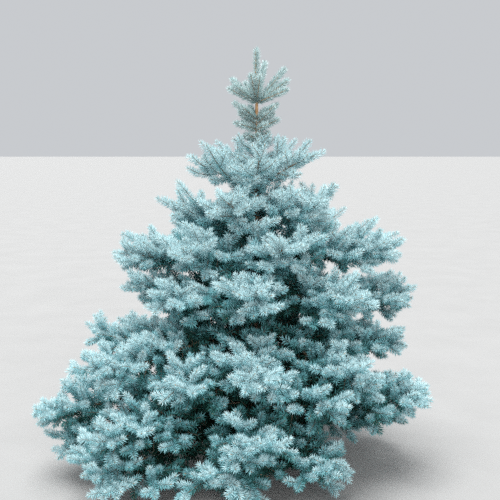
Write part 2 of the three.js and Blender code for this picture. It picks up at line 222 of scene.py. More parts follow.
def distances_to_lines(points):
    offsets = np.atleast_2d(points)[:, None] - starts
    shares = np.clip((offsets * spans).sum(2) / span_squares, 0, 1)
    return np.linalg.norm(offsets - shares[..., None] * spans, axis=2)


def nearest_line(point):
    return int(line_of[distances_to_lines(point)[0].argmin()])


print("straight pieces of centre line:", len(starts))

# %% [markdown]
# Room for each bough
#
# The air round a bough belongs to that bough, and only its finest twigs mingle a little with the
# neighbour's. A point is also refused when it is too near the ground or the trunk, or beside the bare
# start of the limb. Testing meshes against each other would be exact, but far too slow for this many
# twigs. The solid model keeps its masses apart by the same idea, so the solid and the dressed tree agree.

# %% Is a point in its own room
CLEARANCE = 0.004
MINGLE = 0.045
GROUND_ROOM = 0.030


def clear_of_trunk(point):
    centre = trunk_centre(min(point[2], TRUNK_TOP))
    distance = math.hypot(point[0] - centre[0], point[1] - centre[1])
    return distance >= trunk_radius(point[2]) + CLEARANCE


def past_bare_start(bough, points):
    bare = bough["tier"]["bare"]
    return bare == 0 or ((points - along(bough, bare)) @ heading(bough, bare)).min() >= -MINGLE


def in_own_room(owner, points):
    points = np.atleast_2d(points)
    if points[:, 2].min() < GROUND_ROOM:
        return False
    if owner != LEADER and not all(clear_of_trunk(point) for point in points):
        return False
    if owner != LEADER and not past_bare_start(boughs[owner], points):
        return False
    distances = distances_to_lines(points)
    own = distances[:, line_of == owner].min(1)
    other = distances[:, line_of != owner].min(1)
    return bool((other > own - MINGLE).all())


print("the first bough's tip is in its own room:", in_own_room(0, along(boughs[0], 1.0)))

# %% [markdown]
# From numbers to a mesh
#
# Everything on this tree is worked out as long lists of corners and faces. Adding them one by one with
# operators would be very slow, so this helper hands whole arrays to Blender in one go. It also gives the
# new piece its material and lets it ride on the tree's one body.

# %% One mesh from arrays
def add_mesh(name, points, faces, material, smooth=False):
    mesh = bpy.data.meshes.new(name)
    corners = faces.shape[1]
    mesh.vertices.add(len(points))
    mesh.vertices.foreach_set("co", np.asarray(points, np.float32).ravel())
    mesh.loops.add(faces.size)
    mesh.loops.foreach_set("vertex_index", np.asarray(faces, np.int32).ravel())
    mesh.polygons.add(len(faces))
    mesh.polygons.foreach_set("loop_start", np.arange(0, faces.size, corners, dtype=np.int32))
    mesh.polygons.foreach_set("use_smooth", np.full(len(faces), smooth))
    mesh.update(calc_edges=True)
    mesh.materials.append(material)
    piece = bpy.data.objects.new(name, mesh)
    bpy.context.scene.collection.objects.link(piece)
    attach(piece, "root")
    return piece


print("mesh helper ready")

# %% [markdown]
# Round sticks
#
# Limbs, stems and twigs are all tapering round sticks. A curve with a bevel makes one as well, but it has
# to be turned into a mesh before it can be joined to others. So a tube is swept here, one ring of corners
# after another. Each ring needs to know left and up along its stick, and a stick that points straight up
# is given a left. A second helper puts many tubes into one list, because thousands of separate objects
# would be slow.

# %% Tubes, and many parts as one
NEARLY_ZERO = 1e-9
GIVEN_LEFT = np.array([0.0, 1.0, 0.0])


def frame_of(direction):
    left = np.cross(UP, direction)
    left = GIVEN_LEFT if left @ left < NEARLY_ZERO else unit(left)
    return left, np.cross(direction, left)


def tube(centres, radii, sides, cap=True):
    centres = np.asarray(centres, float)
    turns = np.arange(sides) * 2 * math.pi / sides
    rings = []
    for centre, tangent, radius in zip(centres, np.gradient(centres, axis=0), radii):
        left, upper = frame_of(unit(tangent))
        rings.append(centre + radius * (np.outer(np.cos(turns), left) + np.outer(np.sin(turns), upper)))
    faces = []
    for ring in range(len(centres) - 1):
        for k in range(sides):
            a = ring * sides + k
            b = ring * sides + (k + 1) % sides
            faces += [(a, b, b + sides), (a, b + sides, a + sides)]
    if cap:
        last = (len(centres) - 1) * sides
        faces += [(last, last + k, last + k + 1) for k in range(1, sides - 1)]
    return np.concatenate(rings), np.array(faces)


def join_parts(parts):
    sizes = np.cumsum([0] + [len(points) for points, faces in parts[:-1]])
    points = np.concatenate([points for points, faces in parts])
    faces = np.concatenate([faces + start for (part, faces), start in zip(parts, sizes)])
    return points, faces


print("faces of a three-sided stick:", len(tube([[0, 0, 0], [0, 0, 1]], [1, 1], 3)[1]))

# %% [markdown]
# The outline of a bough's foliage
#
# From above, the foliage of one bough is a blunt arrowhead: narrow at the tip and wider backwards, up to
# a limit. From the side it is flatter. Both are straight rules with a limit, measured back from the tip,
# and an ellipse through the two gives the room in any direction round the stem. A lattice could hold the
# shape too, but then every twig would have to be tested against a mesh.

# %% Width, height and direction
TIP_WIDTH = 0.036
WIDTH_GAIN = 0.95
WIDEST = 0.360
TIP_RISE = 0.044
RISE_GAIN = 0.58
HIGHEST = 0.165


def mass_width(back):
    return min(WIDEST, TIP_WIDTH + WIDTH_GAIN * back)


def mass_height(back):
    return min(HIGHEST, TIP_RISE + RISE_GAIN * back)


def room_at(back, roll):
    r = math.radians(roll)
    return 1 / math.hypot(math.cos(r) / mass_width(back), math.sin(r) / mass_height(back))


def aim(stem_direction, angle, roll, side):
    left, upper = frame_of(stem_direction)
    a = math.radians(angle)
    r = math.radians(roll)
    sideways = left * side * math.cos(r) + upper * math.sin(r)
    return stem_direction * math.cos(a) + sideways * math.sin(a)


print("half width and half height 20 cm from the tip:", mass_width(0.2), round(mass_height(0.2), 3))

# %% [markdown]
# Does a shoot fit
#
# In the solid model a side shoot is one thick toothed blade. A few corners of that blade are enough to
# ask whether the shoot stays in its own room; testing every needle would be far slower and rarely tell
# more. A shoot that doesn't fit is tried again shorter and shorter, and left out when nothing fits, as a
# real one dies back in the shade.

# %% Fitting a shoot into its room
TRIES = [1, 0.82, 0.66, 0.5, 0.38]
SOLID_NEEDLE = 0.020
BLADE_HALF = 0.054
BLADE_GAIN = 0.14
BLADE_WIDEST_AT = 0.55


def blade_corners(start, direction, length):
    left, upper = frame_of(direction)
    half = min(BLADE_HALF, SOLID_NEEDLE + BLADE_GAIN * length)
    middle = start + direction * BLADE_WIDEST_AT * length
    tip = start + direction * (length + SOLID_NEEDLE)
    sides = [middle + left * half, middle - left * half, middle + upper * half, middle - upper * half]
    return np.array([tip, *sides])


def fitted(owner, start, direction, length, shortest, corners):
    for share in TRIES:
        if length * share > shortest and in_own_room(owner, corners(start, direction, length * share)):
            return length * share
    return 0.0


print("corners asked for each blade:", len(blade_corners(boughs[0]["root"], heading(boughs[0], 0.5), 0.2)))

# %% [markdown]
# Side shoots, as the solid model has them
#
# Along its bough a spruce carries side shoots, left and right in turn, pointing forward. The same rule
# that placed the solid model's blades gives their places here, so the fine foliage keeps the solid's
# outline. Scattering them at random over the bough would be simpler and would lose it.

# %% The main side shoots
FOLIAGE_FROM = 0.16
FOLIAGE_INSET = 0.020
FIRST_SHOOT = 0.044
SHOOT_SPACING = 0.066
ANGLE_AT_TIP = 38
ANGLE_INWARD = 58
ANGLE_SETTLES = 0.4
ROLLS = [4, 58, -38, 22, 78, -12, -62]
SHORTEST_BLADE = 0.034
TIP_SPRAY = 0.090
TIP_SPRAY_HEADING = 0.97


def main_shoots(owner, bough):
    seed, reach = bough["seed"], bough["reach"]
    deepest = reach * (1 - max(bough["tier"]["bare"], FOLIAGE_FROM)) - FOLIAGE_INSET
    found = []
    back = FIRST_SHOOT
    step = 0
    while back < deepest:
        t = 1 - back / reach
        side = 1 if (step + seed) % 2 == 0 else -1
        angle = ANGLE_AT_TIP + (ANGLE_INWARD - ANGLE_AT_TIP) * min(1, back / ANGLE_SETTLES)
        angle += varied(-4, 4, seed, step + 10)
        roll = ROLLS[(step + seed) % len(ROLLS)] + varied(-6, 6, seed, step + 40)
        direction = aim(heading(bough, t), angle, roll, side)
        length = room_at(back, roll) / math.sin(math.radians(angle)) * varied(0.94, 1.18, seed, step + 70)
        start = along(bough, t)
        length = fitted(owner, start, direction, length - SOLID_NEEDLE, SHORTEST_BLADE, blade_corners)
        if length > 0:
            found.append((start, direction, length))
        back += SHOOT_SPACING * varied(0.9, 1.1, seed, step + 100)
        step += 1
    start = along(bough, 1 - TIP_SPRAY / reach)
    found.append((start, heading(bough, TIP_SPRAY_HEADING), TIP_SPRAY))
    return found


main_of = [main_shoots(owner, bough) for owner, bough in enumerate(boughs)]
print("main side shoots:", sum(len(found) for found in main_of))

# %% [markdown]
# The list of shoots
#
# From here on every shoot goes into one list: its bough, its start, direction and length, how far it
# bends up, and its order, which is 2 on a bough and one more for each fork. Blender could keep them as
# edges of a mesh, but a list is easier to add to while the tree grows. Shoots in the upper crown stand
# more openly, and one number from 0 to 1 says how openly.

# %% Shoots and points on them
OPEN_FROM = 1.1
OPEN_OVER = 0.4
TIP_ROOM = 0.012
shoots = []


def openness(z):
    return np.clip((z - OPEN_FROM) / OPEN_OVER, 0, 1)


def add_shoot(owner, start, direction, length, bend, order):
    shoots.append(dict(owner=owner, start=start, direction=direction, length=length, lift=UP * bend,
                       order=order))


def place_on(shoot, distance):
    share = distance / shoot["length"]
    point = shoot["start"] + shoot["direction"] * distance + shoot["lift"] * shoot["length"] * share * share
    return point, unit(shoot["direction"] + 2 * shoot["lift"] * share)


def tip_corner(start, direction, length):
    return start + direction * (length + TIP_ROOM)


print("openness at half the tree's height and at its top:", openness(1.0), openness(LEADER_TOP))

# %% [markdown]
# Shoots that fill the bough
#
# Between its main side shoots a real bough is packed with smaller ones, all round the stem. They take the
# place of the dense heart that the solid has. Turning each by the golden angle from the one before
# spreads them evenly without any pattern, as plants do it. Geometry Nodes could scatter them, but in a
# loop each can ask for room.

# %% Main and filling shoots
GOLDEN_ANGLE = 137.508
MAIN_SHARE = 0.93
MAIN_RISE_LOSS = 0.16
FILL_FIRST = 0.030
FILL_INSET = 0.010
FILL_SPACING = 0.022
FILL_REACH = 0.90
FILL_ANGLE = ANGLE_AT_TIP + 6
FILL_ANGLE_GAIN = 18
FILL_SHORTEST = 0.024
RISE_SHARE = 0.74
DROP_SHARE = 1.30
OPEN_SPACING = 0.5


def fill_bough(owner, bough):
    seed, reach, tier = bough["seed"], bough["reach"], bough["tier"]
    deepest = reach * (1 - max(tier["bare"], FOLIAGE_FROM)) - FILL_INSET
    back = FILL_FIRST
    step = 0
    while back < deepest:
        t = 1 - back / reach
        roll = (GOLDEN_ANGLE * step + 90 * chance(seed, 300)) % 360
        angle = FILL_ANGLE + FILL_ANGLE_GAIN * min(1, back / ANGLE_SETTLES) + varied(-6, 6, seed, step + 210)
        direction = aim(heading(bough, t), angle, roll, 1)
        length = FILL_REACH * room_at(back, roll) / math.sin(math.radians(angle))
        upright = math.sin(math.radians(roll))
        length *= 1 + (RISE_SHARE - 1) * max(0, upright) + (DROP_SHARE - 1) * max(0, -upright)
        length = length * varied(0.55, 0.97, seed, step + 240) - SOLID_NEEDLE
        start = along(bough, t)
        length = fitted(owner, start, direction, length, FILL_SHORTEST, tip_corner)
        if length > 0:
            add_shoot(owner, start, direction, length, max(tier["bend"], 0.0), 2)
        spacing = FILL_SPACING * (1 + OPEN_SPACING * openness(start[2]))
        back += spacing * varied(0.85, 1.15, seed, step + 270)
        step += 1


for owner, bough in enumerate(boughs):
    for start, direction, length in main_of[owner]:
        length *= MAIN_SHARE - MAIN_RISE_LOSS * max(0, direction[2])
        add_shoot(owner, start, direction, length, bough["tier"]["bend"], 2)
    fill_bough(owner, bough)
on_boughs = len(shoots)
print("shoots on the boughs:", on_boughs)

# %% [markdown]
# Shoots from the trunk
#
# A spruce also has weak shoots straight from the trunk. Most are short, but where the boughs leave a gap
# in the crown they find light and grow on. That rule closes the holes one would otherwise see through.
# Adding more boughs would close them too, but it would change the outline that the solid model has.

# %% Weak shoots that grow into the gaps
TRUNK_SHOOTS_FROM = 0.30
TRUNK_SHOOTS_INSET = 0.03
TRUNK_SHOOT_SPACING = 0.014
TRUNK_SHOOT_LENGTH = 0.17
TRUNK_SHOOT_LOSS = 0.07
TRUNK_SHOOT_BEND = 0.05
IN_THE_BARK = 0.8
LONGER = [0.22, 0.30, 0.38, 0.46]
LONGEST_SHARE = 0.7
GAP = 0.14


def grown_into_gap(start, direction, length):
    for longer in LONGER:
        below_top = longer < LONGEST_SHARE * (TRUNK_TOP - start[2])
        if below_top and distances_to_lines(start + direction * longer).min() > GAP:
            length = longer
    return length


def trunk_shoots():
    z = TRUNK_SHOOTS_FROM
    step = 0
    while z < TRUNK_TOP - TRUNK_SHOOTS_INSET:
        around = math.radians(GOLDEN_ANGLE * step)
        outward = np.array([math.cos(around), math.sin(around), 0.0])
        tilt = math.radians(varied(22, 48, 7, step))
        direction = outward * math.cos(tilt) + UP * math.sin(tilt)
        length = (TRUNK_SHOOT_LENGTH - TRUNK_SHOOT_LOSS * z / TRUNK_TOP) * varied(0.65, 1.15, 8, step)
        start = trunk_centre(z) + outward * IN_THE_BARK * trunk_radius(z)
        length = grown_into_gap(start, direction, length)
        owner = nearest_line(start + direction * length)
        add_shoot(owner, start, direction, length, TRUNK_SHOOT_BEND, 2)
        z += TRUNK_SHOOT_SPACING * varied(0.8, 1.2, 9, step)
        step += 1


trunk_shoots()
second = len(shoots)
print("shoots from the trunk:", second - on_boughs)

# %% [markdown]
# Forks
#
# Every shoot forks on both sides, mostly in one plane, and some forks stand up or hang down so that the
# spray isn't flat. The forks get shorter towards the tip, which gives each spray its pointed outline. An
# L-system would write the same growth as a string of letters; the loop says it in plain numbers.

# %% Forks on every shoot
FORK_FIRST = 0.044
FORK_SPACING = 0.052
FORK_LONGEST = 0.130
FORK_SHORTEST = 0.016
FORK_START = 0.040
FORK_GAIN = 0.50
FORK_BEND = 0.10
FORK_SEEDS = 40
OPEN_FORK_GAIN = 0.15
OPEN_FORK_LONGER = 0.25
FLAT_ROLL = 14
UPRIGHT_ROLL = 70
HANGING_ROLL = -52
UPRIGHT_SHARE = 0.75


def fork_roll(step):
    if step % 4 == 2:
        return UPRIGHT_ROLL
    return HANGING_ROLL if step % 7 == 5 else FLAT_ROLL


def fork(shoot, seed, longest):
    back = FORK_FIRST
    step = 0
    while back < shoot["length"] - FORK_SHORTEST:
        start, direction = place_on(shoot, shoot["length"] - back)
        side = 1 if (step + seed) % 2 == 0 else -1
        roll = fork_roll(step) + varied(-12, 12, seed, step + 5)
        angle = varied(45, 57, seed, step + 9)
        open_here = openness(start[2])
        by_place = (FORK_GAIN + OPEN_FORK_GAIN * open_here) * back + FORK_START
        length = min(longest * (1 + OPEN_FORK_LONGER * open_here), by_place)
        length *= varied(0.82, 1.18, seed, step + 13)
        length *= UPRIGHT_SHARE if fork_roll(step) == UPRIGHT_ROLL else 1
        toward = aim(direction, angle, roll, side)
        length = fitted(shoot["owner"], start, toward, length, FORK_SHORTEST, tip_corner)
        if length > 0:
            add_shoot(shoot["owner"], start, toward, length, FORK_BEND, shoot["order"] + 1)
        back += FORK_SPACING * (1 + OPEN_FORK_LONGER * open_here) * varied(0.85, 1.15, seed, step + 17)
        step += 1


for number, shoot in enumerate(shoots[:second]):
    fork(shoot, number + FORK_SEEDS, FORK_LONGEST)
print("forks:", len(shoots) - second)

# %% [markdown]
# Short shoots along the stem
#
# Close to a bough's own stem sit many shoots no longer than a finger. They hide the stem from above and
# make the middle of a bough look as full as its sides. A thicker stem would fill the gap as well, but it
# would look bare. They are as thin as forks, so they get the order of a fork.

# %% Short shoots
SHORT_FIRST = 0.050
SHORT_FROM = 0.10
SHORT_SPACING = 0.032
SHORT_LENGTH = 0.03
SHORT_GAIN = 0.4
SHORT_LONGEST = 0.090


def short_shoots(owner, bough):
    seed, reach, tier = bough["seed"], bough["reach"], bough["tier"]
    deepest = reach * (1 - max(tier["bare"], SHORT_FROM)) - FILL_INSET
    back = SHORT_FIRST
    step = 0
    while back < deepest:
        t = 1 - back / reach
        roll = (GOLDEN_ANGLE * step + 140 + 90 * chance(seed, 500)) % 360
        direction = aim(heading(bough, t), varied(62, 76, seed, step + 510), roll, 1)
        length = min(SHORT_LONGEST, SHORT_LENGTH + SHORT_GAIN * back) * varied(0.6, 1.1, seed, step + 540)
        start = along(bough, t)
        length = fitted(owner, start, direction, length, FILL_SHORTEST, tip_corner)
        if length > 0:
            add_shoot(owner, start, direction, length, max(tier["bend"], 0.0), 3)
        back += SHORT_SPACING * varied(0.85, 1.15, seed, step + 570)
        step += 1


for owner, bough in enumerate(boughs):
    short_shoots(owner, bough)
third = len(shoots)
print("forks and short shoots:", third - second)

# %% [markdown]
# Finer forks
#
# The longest forks fork once more. These last twigs are what the eye reads as the tufted edge of a spray.
# They could have a rule of their own, but the same function with a shorter limit grows them as well.

# %% Forks on the longer forks
FORKS_AGAIN_FROM = 0.088
FINE_FORK_LONGEST = 0.060
FINE_FORK_SEEDS = 900
for number, shoot in enumerate(shoots[second:third]):
    if shoot["length"] > FORKS_AGAIN_FROM:
        fork(shoot, number + FINE_FORK_SEEDS, FINE_FORK_LONGEST)
print("finer forks:", len(shoots) - third)

# %% [markdown]
# The leader and its whorls
#
# The top of the tree is the youngest part: one straight shoot, the leader, with rings of shorter ones
# below its tip. A rule could place them, but a handful of shoots against the sky shows every mistake, so
# they are listed one by one: the height of each ring, and for each shoot its turn, reach and rise.

# %% The crown's tip
LEADER_WHORLS = [
    (1.650, [(-150, 0.074, 0.034), (-32, 0.078, 0.044), (75, 0.078, 0.030), (160, 0.084, 0.020),
             (-88, 0.066, 0.030), (20, 0.080, 0.016)]),
    (1.700, [(186, 0.122, 0.034), (-146, 0.104, 0.026), (-22, 0.124, 0.052), (-62, 0.106, 0.024),
             (38, 0.104, 0.040), (94, 0.100, 0.040), (142, 0.104, 0.044)]),
    (1.724, [(200, 0.100, 0.056), (-50, 0.096, 0.060), (20, 0.100, 0.062), (130, 0.096, 0.060)]),
    (1.748, [(170, 0.126, 0.088), (-138, 0.110, 0.066), (-42, 0.122, 0.066), (6, 0.112, 0.080),
             (62, 0.110, 0.062), (112, 0.106, 0.074), (208, 0.108, 0.040)]),
    (1.832, [(176, 0.132, 0.120), (205, 0.162, 0.066), (-106, 0.112, 0.134), (70, 0.132, 0.212),
             (20, 0.158, 0.174), (-14, 0.168, 0.108), (-30, 0.182, 0.058), (118, 0.130, 0.110),
             (-148, 0.140, 0.085), (-82, 0.112, 0.128)]),
]
WHORL_BEND = 0.02
leader_from = len(shoots)
for height, whorl in LEADER_WHORLS:
    for turn, reach, rise in whorl:
        toward = np.array([reach * math.cos(math.radians(turn)), reach * math.sin(math.radians(turn)), rise])
        length = np.linalg.norm(toward) - SOLID_NEEDLE
        add_shoot(LEADER, trunk_centre(height), unit(toward), length, WHORL_BEND, 2)
whorl_top = LEADER_WHORLS[-1][0]
add_shoot(LEADER, trunk_centre(whorl_top), UP.copy(), LEADER_TOP - whorl_top, 0.0, 2)
print("crown tip shoots:", len(shoots) - leader_from)

# %% [markdown]
# Bark colours
#
# Bark is never one colour. Layers of noise mix a dark and a light brown, and the same noise drives a very
# fine bump, so that grooves are dark. A photo of bark could be wrapped round the trunk, but a procedural
# colour has no seams and travels with the model.

# %% A mottled material
NOISE_DETAIL = 8
NOISE_ROUGHNESS = 0.62
DARK_UP_TO = 0.34
LIGHT_FROM = 0.68
BUMP_HEIGHT = 0.001


def mottled_material(name, dark, light, scale, roughness, relief=0.5):
    material = bpy.data.materials.new(name)
    material.use_nodes = True
    nodes, links = material.node_tree.nodes, material.node_tree.links
    shader = nodes["Principled BSDF"]
    shader.inputs["Roughness"].default_value = roughness
    coordinates = nodes.new("ShaderNodeTexCoord")
    noise = nodes.new("ShaderNodeTexNoise")
    noise.inputs["Scale"].default_value = scale
    noise.inputs["Detail"].default_value = NOISE_DETAIL
    noise.inputs["Roughness"].default_value = NOISE_ROUGHNESS
    ramp = nodes.new("ShaderNodeValToRGB")
    ramp.color_ramp.elements[0].position = DARK_UP_TO
    ramp.color_ramp.elements[0].color = (*dark, 1)
    ramp.color_ramp.elements[1].position = LIGHT_FROM
    ramp.color_ramp.elements[1].color = (*light, 1)
    links.new(coordinates.outputs["Object"], noise.inputs["Vector"])
    links.new(noise.outputs["Fac"], ramp.inputs["Fac"])
    links.new(ramp.outputs["Color"], shader.inputs["Base Color"])
    bump = nodes.new("ShaderNodeBump")
    bump.inputs["Strength"].default_value = relief
    bump.inputs["Distance"].default_value = BUMP_HEIGHT
    links.new(noise.outputs["Fac"], bump.inputs["Height"])
    links.new(bump.outputs["Normal"], shader.inputs["Normal"])
    return material


trunk_bark = mottled_material("trunk_bark", dark=(0.060, 0.045, 0.035), light=(0.26, 0.215, 0.175),
                              scale=70, roughness=0.9)
limb_bark = mottled_material("bough_bark", dark=(0.085, 0.050, 0.028), light=(0.30, 0.195, 0.115),
                             scale=90, roughness=0.85)
print("bark materials:", trunk_bark.name, limb_bark.name)

# %% [markdown]
# Bark that warms with height
#
# At the foot the trunk is old and grey-brown, and higher up its bark is younger and more orange. Two
# materials would meet in a visible line, so the height of each point is turned into a number from 0 to 1
# that fades in a warm tint over the mottling.

# %% Warmer bark higher up
WARM_TINT = (1.9, 1.35, 0.95)
WARM_FROM = 0.4
WARM_FULLY = 1.4


def warm_with_height(material, warm, from_height, to_height):
    nodes, links = material.node_tree.nodes, material.node_tree.links
    base_colour = nodes["Principled BSDF"].inputs["Base Color"]
    mottling = base_colour.links[0].from_socket
    place = nodes.new("ShaderNodeSeparateXYZ")
    fade = nodes.new("ShaderNodeMapRange")
    fade.inputs["From Min"].default_value = from_height
    fade.inputs["From Max"].default_value = to_height
    mix = nodes.new("ShaderNodeMix")
    mix.data_type = "RGBA"
    mix.blend_type = "MULTIPLY"
    mix.inputs["B"].default_value = (*warm, 1)
    links.new(nodes["Texture Coordinate"].outputs["Object"], place.inputs["Vector"])
    links.new(place.outputs["Z"], fade.inputs["Value"])
    links.new(fade.outputs["Result"], mix.inputs["Factor"])
    links.new(mottling, mix.inputs["A"])
    links.new(mix.outputs["Result"], base_colour)


warm_with_height(trunk_bark, WARM_TINT, WARM_FROM, WARM_FULLY)
print("nodes in the trunk's bark:", len(trunk_bark.node_tree.nodes))

# %% [markdown]
# The trunk's scales
#
# A spruce's bark breaks into small thin scales. They are part of the mesh, so they show at the trunk's
# outline as well, which a bump alone can't do. The pattern is a few sine waves: rows across, wavering
# columns along, and fine crumbs. Each wave turns a whole number of times round the trunk, so there is no
# seam. A Displace modifier with a noise texture would be quicker to set up, but its lumps don't line up
# in rows.

# %% A pattern of scales
COLUMN_WAVES = 7
ROW_WAVES = 118
CRUMBS = 0.18


def scales(angle, z):
    warp = 0.7 * np.sin(3 * angle + 21 * z) + 0.5 * np.sin(5 * angle - 34 * z + 1.3)
    columns = np.abs(np.sin(COLUMN_WAVES * angle + warp + 0.8 * np.sin(48 * z)))
    rows = np.abs(np.sin(ROW_WAVES * z + 1.6 * np.sin(4 * angle + 9 * z) + warp))
    crumbs = np.sin(31 * angle + 260 * z) * np.sin(23 * angle - 310 * z)
    return np.minimum(columns, rows) ** 0.45 + CRUMBS * crumbs


print("rows of scales up the trunk:", round(ROW_WAVES * TRUNK_TOP / math.pi))

# %% [markdown]
# The trunk
#
# The trunk widens into a flared foot with a lobe above each main root. Its mesh is a grid of rings,
# closed at both ends. The rings are closer together near the ground, where the shape changes fastest and
# where it can be seen. Sculpting would allow a freer shape, but a formula keeps the foot as wide as the
# solid model's.

# %% Trunk with scaly relief
ROOT_FLARE = 0.026
ROOT_FLARE_HEIGHT = 0.055
ROOT_LOBES = 5
ROOT_LOBE_DEPTH = 0.3
TRUNK_AROUND = 48
TRUNK_RINGS = 170
RINGS_CROWD = 1.25
SCALE_DEPTH = 0.0016
SCALE_MIDDLE = 0.7
heights = TRUNK_TOP * (np.linspace(0, 1, TRUNK_RINGS) ** RINGS_CROWD)
angle, z = np.meshgrid(np.arange(TRUNK_AROUND) * 2 * math.pi / TRUNK_AROUND, heights)
plain = trunk_radius(z)
lobes = 1 + ROOT_LOBE_DEPTH * np.cos(ROOT_LOBES * angle)
radius = plain + ROOT_FLARE * lobes * np.exp(-z / ROOT_FLARE_HEIGHT)
radius += SCALE_DEPTH * (plain / TRUNK_RADIUS) * (scales(angle, z) - SCALE_MIDDLE)
points = np.stack([trunk_sway(z) + radius * np.cos(angle), radius * np.sin(angle), z], axis=2).reshape(-1, 3)
foot = len(points)
top = foot + 1
points = np.vstack([points, trunk_centre(0.0), trunk_centre(TRUNK_TOP)])
ring = np.arange(TRUNK_AROUND)
after = (ring + 1) % TRUNK_AROUND
last = (TRUNK_RINGS - 1) * TRUNK_AROUND
faces = []
for row in range(TRUNK_RINGS - 1):
    low = row * TRUNK_AROUND
    high = low + TRUNK_AROUND
    faces.append(np.stack([low + ring, low + after, high + after], axis=1))
    faces.append(np.stack([low + ring, high + after, high + ring], axis=1))
faces.append(np.stack([np.full(TRUNK_AROUND, foot), after, ring], axis=1))
faces.append(np.stack([np.full(TRUNK_AROUND, top), last + ring, last + after], axis=1))
trunk = add_mesh("trunk_bark_relief", points, np.concatenate(faces), trunk_bark, smooth=True)
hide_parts("trunk")
print("trunk faces:", len(trunk.data.polygons))

# %% [markdown]
# Limbs
#
# Where the low and the broad boughs leave the trunk they carry no foliage, and their bark can be seen
# between the tiers. It has low rings where side shoots once grew. A tube whose radius wavers gives those
# with far fewer faces than a sculpted limb.

# %% Bare limbs
KNOT_SPACING = 0.055
KNOT_HEIGHT = 0.10
WANDER = 0.05
LIMB_OVERLAP = 0.03
LIMB_SIDES = 10
LIMB_RINGS = 28


def limb_tube(bough, t0, t1, sides, rings):
    shares = np.linspace(t0, t1, rings)
    centres = np.array([along(bough, t) for t in shares])
    radii = np.array([limb_radius(bough, t) for t in shares])
    bumps = np.maximum(0, np.sin(shares * bough["reach"] * 2 * math.pi / KNOT_SPACING))
    knots = 1 + KNOT_HEIGHT * bumps ** 6
    wander = 1 + WANDER * np.sin(shares * 61 + bough["seed"])
    return tube(centres, radii * knots * wander, sides)


bare_boughs = [bough for bough in boughs if bough["tier"]["bare"] > 0]
limb_parts = [limb_tube(bough, 0.0, bough["tier"]["bare"] + LIMB_OVERLAP, LIMB_SIDES, LIMB_RINGS)
              for bough in bare_boughs]
limbs = add_mesh("limb_bark_relief", *join_parts(limb_parts), limb_bark, smooth=True)
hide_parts(*bough_nodes)
print("bare limbs:", len(bare_boughs), "faces:", len(limbs.data.polygons))

# %% [markdown]
# Stems inside the foliage
#
# A bough's stem runs on through its foliage to the tip. A Skin modifier could join it smoothly to its
# side twigs, but little of it shows, so the same tube with fewer sides is enough. It keeps the limb's
# bark, because it is the same piece of wood.

# %% Stems
STEM_END = 0.985
STEM_SIDES = 6
STEM_RINGS = 26
stem_parts = [limb_tube(bough, bough["tier"]["bare"], STEM_END, STEM_SIDES, STEM_RINGS) for bough in boughs]
stems = add_mesh("foliage_stems", *join_parts(stem_parts), limb_bark, smooth=True)
print("stem faces:", len(stems.data.polygons))

# %% [markdown]
# The leader's stem
#
# The leader's stem is young wood, smooth and orange-tan, and it can be seen between the whorls. It starts
# a little inside the trunk's top so that no gap shows. It has a material of its own, because a tint
# shared with the older twigs would be either too grey here or too bright there.

# %% Leader stem
LEADER_FOOT_RADIUS = 1.2 * TRUNK_TOP_RADIUS
LEADER_TIP_RADIUS = 0.003
LEADER_OVERLAP = 0.004
LEADER_SIDES = 10
LEADER_RINGS = 30
leader_heights = np.linspace(TRUNK_TOP - LEADER_OVERLAP, LEADER_TOP, LEADER_RINGS)
leader_radii = np.linspace(LEADER_FOOT_RADIUS, LEADER_TIP_RADIUS, LEADER_RINGS)
leader_stem = tube([trunk_centre(z) for z in leader_heights], leader_radii, LEADER_SIDES)
leader_bark = mottled_material("leader_bark", dark=(0.34, 0.17, 0.07), light=(0.60, 0.36, 0.18),
                               scale=120, roughness=0.7)
leader = add_mesh("leader_stem", *leader_stem, leader_bark, smooth=True)
print("leader faces:", len(leader.data.polygons))

# %% [markdown]
# Dead twigs
#
# Inside the crown there is too little light, so the bare limbs carry the brittle, drooping remains of old
# side shoots. Each is three straight twigs on a bent one. They make the dark gaps look grown rather than
# empty, and in the shade nobody would see more detail. Leaving them out would be easier, but the limbs
# would look like pipes.

# %% Dead twigs on the bare limbs
DEAD_TWIGS = 16
DEAD_DROOP = 0.25
DEAD_RADII = (0.0016, 0.0012, 0.0007)
DEAD_FORK_RADII = (0.0010, 0.0006)
DEAD_FORKS = 3
DEAD_FORK_SHARE = 0.4
DEAD_FORK_ANGLE = 50
DEAD_FORK_STEP = 0.3
DEAD_FROM = 0.03
DEAD_PAST_BARE = 0.05


def dead_twig(start, direction, length, number):
    droop = -DEAD_DROOP * UP * length
    centres = [start + direction * length * share + droop * share * share for share in (0, 0.5, 1)]
    parts = [tube(centres, DEAD_RADII, 3, cap=False)]
    for k in range(DEAD_FORKS):
        foot = centres[1] + (centres[2] - centres[1]) * DEAD_FORK_STEP * k
        toward = aim(direction, DEAD_FORK_ANGLE, 360 * chance(number, k), 1)
        parts.append(tube([foot, foot + toward * DEAD_FORK_SHARE * length], DEAD_FORK_RADII, 3, cap=False))
    return parts


dead_parts = []
for bough in bare_boughs:
    for k in range(DEAD_TWIGS):
        t = DEAD_FROM + (bough["tier"]["bare"] + DEAD_PAST_BARE) * k / DEAD_TWIGS
        direction = aim(heading(bough, t), varied(50, 80, bough["seed"], k + 700), GOLDEN_ANGLE * k, 1)
        length = varied(0.05, 0.13, bough["seed"], k + 730)
        dead_parts += dead_twig(along(bough, t), direction, length, bough["seed"] * 31 + k)
dead_bark = mottled_material("dead_twig_bark", dark=(0.060, 0.045, 0.034), light=(0.20, 0.155, 0.115),
                             scale=140, roughness=0.9)
dead_twigs = add_mesh("dead_twigs", *join_parts(dead_parts), dead_bark)
print("dead twigs:", DEAD_TWIGS * len(bare_boughs))

